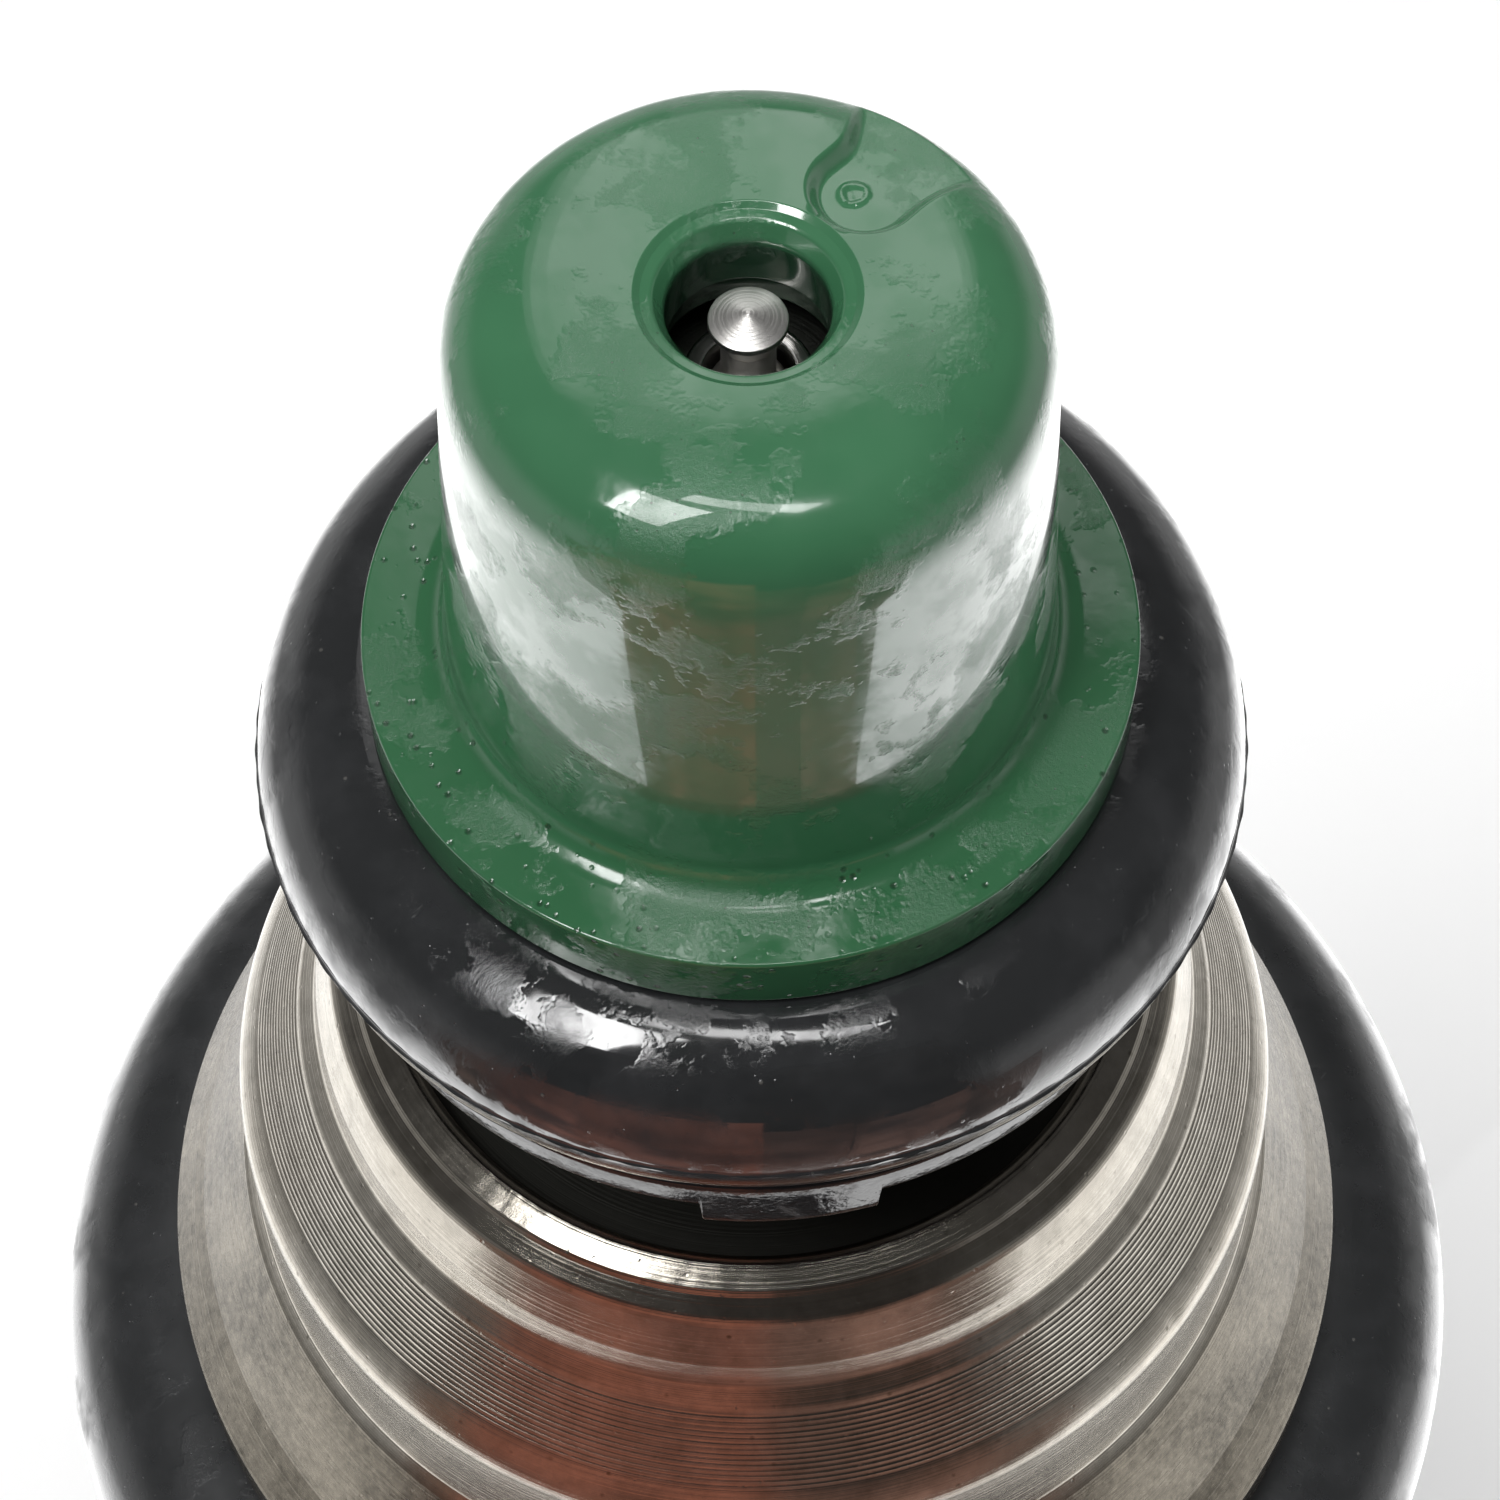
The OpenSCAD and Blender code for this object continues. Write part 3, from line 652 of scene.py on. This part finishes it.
def green_plastic():
    """Glossy green plastic under a thin film of oil: smears, droplets and dust in patches, with
    painted shade in the spray hole's bore and on the flange.
    """
    f = Finish("green_plastic", 0.16, Specular_IOR_Level=0.75, Coat_Roughness=0.03)
    cloud = f.noise(0.35, 3.0).band(0.35, 0.7)
    deep = f.blend(cloud, (0.038, 0.142, 0.066), (0.047, 0.165, 0.078))
    patch = f.noise(0.55, 5.0, 0.65).band(0.50, 0.56)
    grit = f.specks(5.5, 0.12) * patch
    height = f.height()
    # painted shade: the spray hole's bore, below its lip, is painted near black
    painted_bore_shade = f.radius().band(1.25, 1.12) * height.band(S + 10.32, S + 10.12)
    flange = height.band(S + 3.3, S + 3.1)
    pitted = f.specks(3.8, 0.22) * flange * f.noise(0.8, 3.0).band(0.36, 0.50)
    # painted shade: the flange round the wall's foot is painted darker; the same mask also sets its
    # pits and thinner coat
    deep_with_flange_shade = f.blend(flange * 0.5, deep, (0.016, 0.085, 0.030))
    gritty_and_shaded = f.blend(grit * 0.7 + pitted * 0.8, deep_with_flange_shade, (0.012, 0.036, 0.018))
    f.set("Base Color", f.blend(painted_bore_shade * 0.75, gritty_and_shaded, (0.012, 0.028, 0.018)))
    film = f.noise(0.9, 5.0, 0.6).band(0.44, 0.56)
    f.set("Roughness", film * 0.07 + f.noise(7.0, 4.0) * 0.07 + grit * 0.2 + 0.06)
    f.set("Coat Weight", film * -0.4 + 0.95 - flange * 0.5)
    orange_peel = f.noise(0.9, 2.0) * 0.9 + f.noise(3.2, 2.0) * 0.22
    crust = f.noise(11.0, 5.0, 0.8) * 1.3 * patch
    f.raise_by(orange_peel + crust + grit * -0.3 - pitted * 1.5, 0.012)
    return f.material


def smooth_step(low, high, value):
    """0 below low, 1 above high, and 3 u^2 - 2 u^3 between them."""
    share = np.clip((value - low) / (high - low), 0, 1)
    return share * share * (3 - 2 * share)


def crown(start, wall, flat_slope, wall_slope, length, steps=60):
    """The outline from the wall's radius over the soft top edge to start, at the spray hole, by its
    slope: near start it is flat, then comes a bend of the given length whose curvature follows
    (1 - cos)^0.6, so that no edge shows in the gloss. The flat takes up the rest of the radius."""
    share = (np.arange(steps) + 0.5) / steps
    bend = (1 - np.cos(math.tau * share)) ** 0.6
    slope = flat_slope + (wall_slope - flat_slope) * np.cumsum(bend) / bend.sum()
    across, down = (np.cumsum(part) * length / steps for part in (np.cos(slope), np.sin(slope)))
    flat = np.linspace(0, wall - start[0] - across[-1], 12)
    flat_drop = 0.5 * math.tan(flat_slope) * flat * flat / flat[-1]
    r = np.concatenate([start[0] + flat, start[0] + flat[-1] + across])
    z = np.concatenate([start[1] - flat_drop, start[1] - flat_drop[-1] - down])
    return np.stack([r, z], 1)[::-1]


CAP_TOP = S + 10.6
GATE_ANGLE = math.radians(48)
LIP_RADIUS, WALL_RADIUS = 1.60, 4.04
foot = rounded([(2.75, S + 1.85, 0), (5.54, S + 1.85, 0.06), (5.54, S + 2.89, 0.05),
                (4.32, S + 2.955, 0.5), (4.28, S + 4.2, 0)], 14)
top = crown((LIP_RADIUS, CAP_TOP), WALL_RADIUS, math.radians(3.5), math.radians(87.6), 2.75)
hole = rounded([
    (LIP_RADIUS, CAP_TOP, 0), (1.46, CAP_TOP, 0.05), (1.37, CAP_TOP - 0.06, 0.04),
    (1.22, CAP_TOP - 0.10, 0.12), (1.06, CAP_TOP - 0.36, 0.25), (1.06, CAP_TOP - 1.1, 0.1),
    (1.18, S + 9.0, 0), (2.75, S + 9.0, 0), (2.75, S + 1.85, 0)], 14)
cap_outline = np.concatenate([fine(foot, 0.8), fine(top, 0.05), fine(hole, 0.4)])
gate = np.linspace(-0.55, 0.55, 170) + GATE_ANGLE
turn = np.concatenate([gate, np.linspace(gate[-1], gate[0] + math.tau, 242)[1:-1]])
r, z = cap_outline[:, :1], cap_outline[:, 1:]
x, y, z = r * np.cos(turn), r * np.sin(turn), z + 0 * turn
# distance outside a slot that runs outward from 2.25 mm along the gate's direction, and flares
run = x * math.cos(GATE_ANGLE) + y * math.sin(GATE_ANGLE) - 2.25
side = -x * math.sin(GATE_ANGLE) + y * math.cos(GATE_ANGLE)
half_width = 0.70 + np.where(side > 0, 0.55, 0.22) * smooth_step(0.3, 1.6, run)
edge = np.where(run < 0, np.hypot(run, side) - 0.70, np.abs(side) - half_width)
pocket = 1 - smooth_step(-0.15, 0.09, edge)
pocket_floor = CAP_TOP - 0.23 - 0.12 * np.clip(run, 0, 2) - 0.05 * np.clip(side, -1, 1)
# the gate's stub: a ragged ring of 0.17 mm radius, round a torn middle
stub = np.hypot(run + 0.05, side - 0.14)
ragged = 0.5 * np.sin(17 * run + 3) * np.sin(21 * side + 1)
ragged = ragged + 0.5 * np.sin(31 * run) * np.sin(27 * side + 2)
ring_of_stub = np.exp(-((stub - 0.17) / 0.045) ** 2) * (1 + 0.4 * ragged)
pocket_floor = pocket_floor + 0.022 * ring_of_stub + 0.012 * ragged * (stub < 0.15)
on_top = (z > CAP_TOP - 1.9) & (r > 1.3)
z = np.where(on_top, z - pocket * np.clip(z - pocket_floor, 0, None), z)
cap = skin("spray_cap", np.stack([x, y, z], -1) * MM, green_plastic(), run_of(cap_outline), 40)
fit(cap, BODY, "green_plastic", "pintle_cap")


# ---------------------------------------------------------------------------------------------
# The two seal rings and the washers behind them: the rings are black rubber from a split mould,
# which leaves a thin ragged flash round the outside, and the washers are moulded black plastic.
# The spray end's washer has one tab.

RING_MIDDLE, RING_TUBE = 5.53, 1.77


def seal_ring(name, height, seed):
    """A torus: r = middle + tube cos a, z = tube sin a, with a ragged ridge where a is 0."""
    wide = np.radians(np.linspace(4, 356, 89))
    near = np.radians(np.linspace(-3.6, 3.6, 13))
    a = np.concatenate([near, wide])[:, None]
    t = np.linspace(0, math.tau, 512, endpoint=False)
    ragged = 0.5 + 0.25 * np.sin(37 * t + seed) * np.sin(11 * t) + 0.25 * np.sin(83 * t + 2 * seed)
    off_middle = np.where(a > math.pi, a - math.tau, a)
    flash = 0.055 * np.exp(-(off_middle / 0.014) ** 2) * (0.5 + 0.5 * ragged)
    tube = RING_TUBE + flash
    r = RING_MIDDLE + tube * np.cos(a)
    grid = np.stack([r * np.cos(t), r * np.sin(t), height + tube * np.sin(a) + 0 * t], -1) * MM
    grid = np.concatenate([grid, grid[:1]])
    return skin(name, grid, seal_rubber, np.concatenate([a[:, 0], [math.tau]]) * RING_TUBE, 60)


fit(seal_ring("spray_end_seal", S, 0.3), BODY, "seal_rubber", "lower_seal")
fit(seal_ring("rail_end_seal", 3.45, 1.7), BODY, "seal_rubber", "upper_seal")


def black_plastic():
    """Black glass-filled plastic: a fine spark-eroded grain, flow clouds and rubbed spots."""
    f = Finish("black_plastic", 0.4, Specular_IOR_Level=0.5)
    cloud = f.noise(0.4, 4.0).band(0.3, 0.75)
    rub = f.noise(1.3, 5.0, 0.7).band(0.6, 0.72)
    dark = f.blend(cloud, (0.012, 0.012, 0.0135), (0.021, 0.021, 0.023))
    f.set("Base Color", f.blend(rub * 0.4, dark, (0.045, 0.045, 0.047)))
    f.set("Roughness", f.noise(5.0, 4.0) * 0.14 + rub * -0.10 + 0.30)
    f.raise_by(f.noise(16.0, 3.0, 0.6) + f.noise(0.6, 2.0) * 0.8, 0.006)
    return f.material


moulded_black = black_plastic()


def glossy_black():
    """Polished black plastic with a few scuffs and shrink marks."""
    f = Finish("glossy_black", 0.14, Specular_IOR_Level=0.6)
    cloud = f.noise(0.9, 4.0).band(0.4, 0.7)
    f.set("Base Color", f.blend(cloud, (0.009, 0.009, 0.010), (0.020, 0.019, 0.019)))
    scuff = f.noise(2.2, 5.0, 0.7).band(0.52, 0.66)
    f.set("Roughness", scuff * 0.16 + f.noise(6.0, 3.0) * 0.05 + 0.07)
    f.raise_by(f.noise(1.4, 4.0, 0.6) * 1.6 + f.noise(15.0, 3.0) * 0.15, 0.012)
    return f.material


TAB_AT, TAB_HALF = -85.5, 11.5
WASHER_TOP, WASHER_FOOT = S - 1.8, S - 2.42


def with_tab(r, z, turn):
    """Drops the washer's underside by 0.58 mm over the tab, with steep drafted sides."""
    away = np.abs(np.angle(np.exp(1j * (turn - math.radians(TAB_AT)))))
    share = 1 - smooth_step(math.radians(TAB_HALF - 0.5), math.radians(TAB_HALF), away)
    under = 1 - smooth_step(WASHER_FOOT, WASHER_FOOT + 0.2, z)
    return r, z - 0.58 * share * under * (r > 4.25)


washer_outline = closed([
    (3.79, WASHER_FOOT, 0), (4.25, WASHER_FOOT, 0), (4.3, WASHER_FOOT, 0),
    (6.7, WASHER_FOOT, 0.07), (6.7, WASHER_TOP, 0.12), (3.79, WASHER_TOP, 0.05)])
tab_sides = [TAB_AT % 360 + np.linspace(start, end, 15) for start, end in (
    (-TAB_HALF - 0.2, -TAB_HALF + 0.7), (TAB_HALF - 0.7, TAB_HALF + 0.2))]
around = np.radians(np.sort(np.concatenate([np.arange(360.0), *tab_sides])))
washer = turned("tabbed_washer", washer_outline, glossy_black(), around, 30, 0.3, with_tab)
fit(washer, BODY, "black_plastic", "backup_washer")
rail_washer_outline = closed([
    (3.77, 5.37, 0.1), (6.9, 5.37, 0.15), (6.9, 6.45, 0.2), (3.77, 6.45, 0.1)], 6)
rail_washer = turned("moulded_rail_washer", rail_washer_outline, moulded_black, 192, 30)
fit(rail_washer, BODY, "black_plastic", "rail_washer")


# ---------------------------------------------------------------------------------------------
# The coil: a moulded bobbin wound with enamelled copper, a small seal ring at each end, and two
# leads that run down through the flange and bend out into the connector as its blades.


def plastic(name, low, high, roughness):
    """A natural, slightly waxy plastic with soft colour clouds."""
    f = Finish(name, roughness, Specular_IOR_Level=0.5)
    f.set("Base Color", f.blend(f.noise(0.7, 4.0).band(0.3, 0.75), low, high))
    f.set("Roughness", f.noise(6.0, 3.0) * 0.12 + (roughness - 0.06))
    f.raise_by(f.noise(12.0, 3.0), 0.004)
    return f.material


def copper_wire():
    """Copper under brown enamel."""
    f = Finish("copper_wire", 0.25, 1.0, Coat_Weight=0.5, Coat_Roughness=0.08)
    shade = f.noise(2.0, 4.0).band(0.3, 0.7)
    f.set("Base Color", f.blend(shade, (0.42, 0.16, 0.06), (0.62, 0.27, 0.11)))
    f.raise_by(f.turned_lines(9.0), 0.01)
    return f.material


bobbin_plastic = plastic("bobbin_plastic", (0.50, 0.44, 0.28), (0.64, 0.58, 0.40), 0.42)
dress("coil_bobbin", bobbin_plastic)
dress("coil_winding", copper_wire())
dress("coil_seal_nozzle", seal_rubber)
dress("coil_seal_inlet", seal_rubber)
blade_tin = ground_steel("tinned_blade", (0.70, 0.69, 0.65), 0.30)
SOCKET_AXIS, CAVITY_FLOOR, BLADE_TIP = 16.2, -15.0, -23.2


def rounded_box(width, height, corner, columns=24):
    """The outline of a rounded rectangle about the origin, from the middle of its right side: each
    quarter is half a side, an arc of a quarter turn and half the next side."""
    w, h, c = width / 2, height / 2, corner
    arc = np.linspace(0, math.pi / 2, columns)
    side = np.linspace(0, 1, columns // 4, endpoint=False)[:, None]
    quarter = np.concatenate([
        (w, 0) + side * (0, h - c),
        np.stack([w - c + c * np.cos(arc), h - c + c * np.sin(arc)], 1),
        (w - c, h) + (side + 1 / len(side)) * (c - w, 0)])
    half = np.concatenate([quarter, (quarter * (-1, 1))[::-1][1:]])
    return np.concatenate([half[:-1], -half[:-1]])


def drawn(name, rows, material, place):
    """A bar whose section changes along its length. Rows are (width, height, corner, along), and
    place(across, along, up) sets the three axes. The rows given close to a point at each end."""
    start, end = rows[0][3], rows[-1][3]
    grid = []
    for width, height, corner, along in [(0, 0, 0, start), *rows, (0, 0, 0, end)]:
        across, up = rounded_box(width, height, corner).T
        grid.append(place(across, along + 0 * across, up))
    grid = np.stack(grid)
    return skin(name, grid * MM, material, run_of(grid[:, 0]))


def level(x_middle, z_middle):
    """Places a bar along Y, about the line through x_middle and z_middle."""
    return lambda x, along, up: np.stack([x + x_middle, along, z_middle + up], -1)


def upright(x_middle, y_middle):
    """Places a bar along Z, about the line through x_middle and y_middle."""
    return lambda x, along, up: np.stack([x + x_middle, y_middle - up, along], -1)


for side, node in ((-2.7, "terminal_left"), (2.7, "terminal_right")):
    blade = drawn("tinned_" + node, [
        (2.66, 0.66, 0.1, -6.6), (2.8, 0.8, 0.12, -6.7), (2.8, 0.8, 0.12, -22.25),
        (2.68, 0.78, 0.12, -22.4), (1.2, 0.42, 0.12, BLADE_TIP + 0.12), (1.0, 0.3, 0.1, BLADE_TIP)],
        blade_tin, level(side, SOCKET_AXIS))
    fit(blade, BODY, "tinned_blade", node)
    lead = drawn("lead_of_" + node, [
        (0.7, 0.7, 0.1, 16.0), (0.8, 0.8, 0.12, 16.1), (0.8, 0.8, 0.12, 28.0),
        (0.7, 0.7, 0.1, 28.1)], blade_tin, upright(side, -7))
    fit(lead, BODY, "tinned_blade")


# ---------------------------------------------------------------------------------------------
# The overmould: black plastic moulded round the inlet tube under the barrel's rolled edge, with
# the clip groove, and the connector's shroud standing out to one side.


def split_line(r, z, turn):
    """The mould's split shows as a thin ridge down both sides, 0.03 mm * exp(-(offset / 0.4 deg)^2),
    and two ejector pins left round dimples, 0.06 mm deep, on the side away from the connector."""
    ridge = sum(np.exp(-(np.angle(np.exp(1j * (turn - at))) / 0.007) ** 2) for at in (0, math.pi))
    dimples = 0
    for at in (65, 115):
        away = np.angle(np.exp(1j * (turn - math.radians(at)))) * r
        dimples = dimples + (1 - smooth_step(0.95, 1.15, np.hypot(away, z - 18.4))) * (r > 10)
    return r + 0.03 * ridge * smooth_step(5.5, 6.5, r) - 0.06 * dimples, z


collar = closed([
    (4.23, 6.55, 0), (6, 6.55, 0.25), (6, 7.75, 0.2), (5.1, 7.75, 0.2), (5.1, 9.25, 0.2),
    (6.2, 9.25, 0.15), (6.6, 9.65, 0.15), (6.6, 12.2, 0.6), (10.9, 14.2, 0.5), (11.3, 14.8, 0.5),
    (11.3, 22.35, 0.2), (10.9, 22.75, 0.15), (9.65, 22.75, 0), (9.65, 24.15, 0),
    (4.23, 24.15, 0)], 8)
split = np.radians(np.linspace(-1.2, 1.2, 9))
even = np.linspace(0, math.tau, 300, endpoint=False)
even = even[np.abs(np.sin(even)) > 0.03]
turns = np.sort(np.concatenate([split, split + math.pi, even]) % math.tau)
moulding = turned("moulded_collar", collar, moulded_black, turns, 30, 0.5, split_line)
fit(moulding, BODY, "black_plastic", "overmould")

# the shroud's skin, as (out from its plain side, along): root, body, collar, lip and cavity wall
shroud_steps = rounded([
    (0.7, 5.0, 0), (0.7, 14.6, 0.25), (0, 15.0, 0.25), (0, 23.1, 0.12), (0.8, 23.1, 0.2),
    (0.8, 25.5, 0.2), (0, 25.5, 0.12), (0, 27.5, 0.3), (-1.25, 27.5, 0.12), (-1.6, 27.15, 0.12),
    (-1.6, 15.0, 0.4), (-2.6, 15.0, 0)], 7)[:-1]
SHROUD_WIDTH, SHROUD_HEIGHT = 15.6, 10.4
shroud_rows = []
for out, along in fine(shroud_steps, 0.8):
    # the root and the collar stand out less above and below than at the sides
    lift = out * (0.36 if along < 20 else 0.5) if out > 0 else out * 1.5 / 1.6
    corner = max(0.3, (2.2 if out > -0.8 else 2.0) + 0.5 * out)
    shroud_rows.append((SHROUD_WIDTH + 2 * out, SHROUD_HEIGHT + 2 * lift, corner, -along))
shroud_rows.append((9.0, 4.0, 0.3, CAVITY_FLOOR))
shroud = drawn("moulded_shroud", shroud_rows, moulded_black, level(0, SOCKET_AXIS))
fit(shroud, BODY, "black_plastic")
RIB_MIDDLE = 19.47
for name, x_rib, nodes in (("keying_rib_1", -3.6, ["connector_ribs"]), ("keying_rib_2", 3.6, [])):
    rib = drawn(name, [
        (1.2, 0.94, 0.15, CAVITY_FLOOR), (1.2, 0.94, 0.15, -25.6), (1.05, 0.7, 0.12, -25.95),
        (0.7, 0.4, 0.1, -26.0)], moulded_black, level(x_rib, RIB_MIDDLE))
    fit(rib, BODY, "black_plastic", *nodes)


# ---------------------------------------------------------------------------------------------
# The inlet filter: a stamped brass ring pressed into the tube's mouth, a moulded plastic cage that
# hangs from it into the bore, and a fine woven screen held in the cage.


def filter_brass():
    """Stamped brass, dulled by fuel."""
    f = Finish("filter_brass", 0.3, 1.0)
    shade = f.noise(2.0, 4.0).band(0.3, 0.7)
    f.set("Base Color", f.blend(shade, (0.50, 0.35, 0.13), (0.70, 0.52, 0.24)))
    f.set("Roughness", f.noise(5.0) * 0.2 + 0.2)
    return f.material


screen = plastic("filter_plastic", (0.56, 0.50, 0.34), (0.72, 0.66, 0.48), 0.45)
ring_outline = closed([
    (2.3, 0.4, 0.2), (2.99, 0.4, 0.25), (2.99, 2.8, 0.08), (2.3, 2.8, 0.08)], 7)
pressed_ring = turned("pressed_filter_ring", ring_outline, filter_brass(), 144, 30)
fit(pressed_ring, BODY, "filter_brass", "filter_ring")
dress("filter_cage", screen)


def weave(r, z, turn):
    """A woven screen: the wall swings by 0.022 mm * sin(48 turn) * sin(2 pi z / 0.3)."""
    return r + 0.022 * np.sin(48 * turn) * np.sin(math.tau * z / 0.3), z


screen_outline = closed([(2.15, 2.92, 0), (2.22, 2.92, 0), (2.22, 9.65, 0), (2.15, 9.65, 0)])
woven = turned("woven_screen", screen_outline, screen, 240, 60, 0.075, weave)
fit(woven, BODY, "filter_plastic", "filter_mesh")
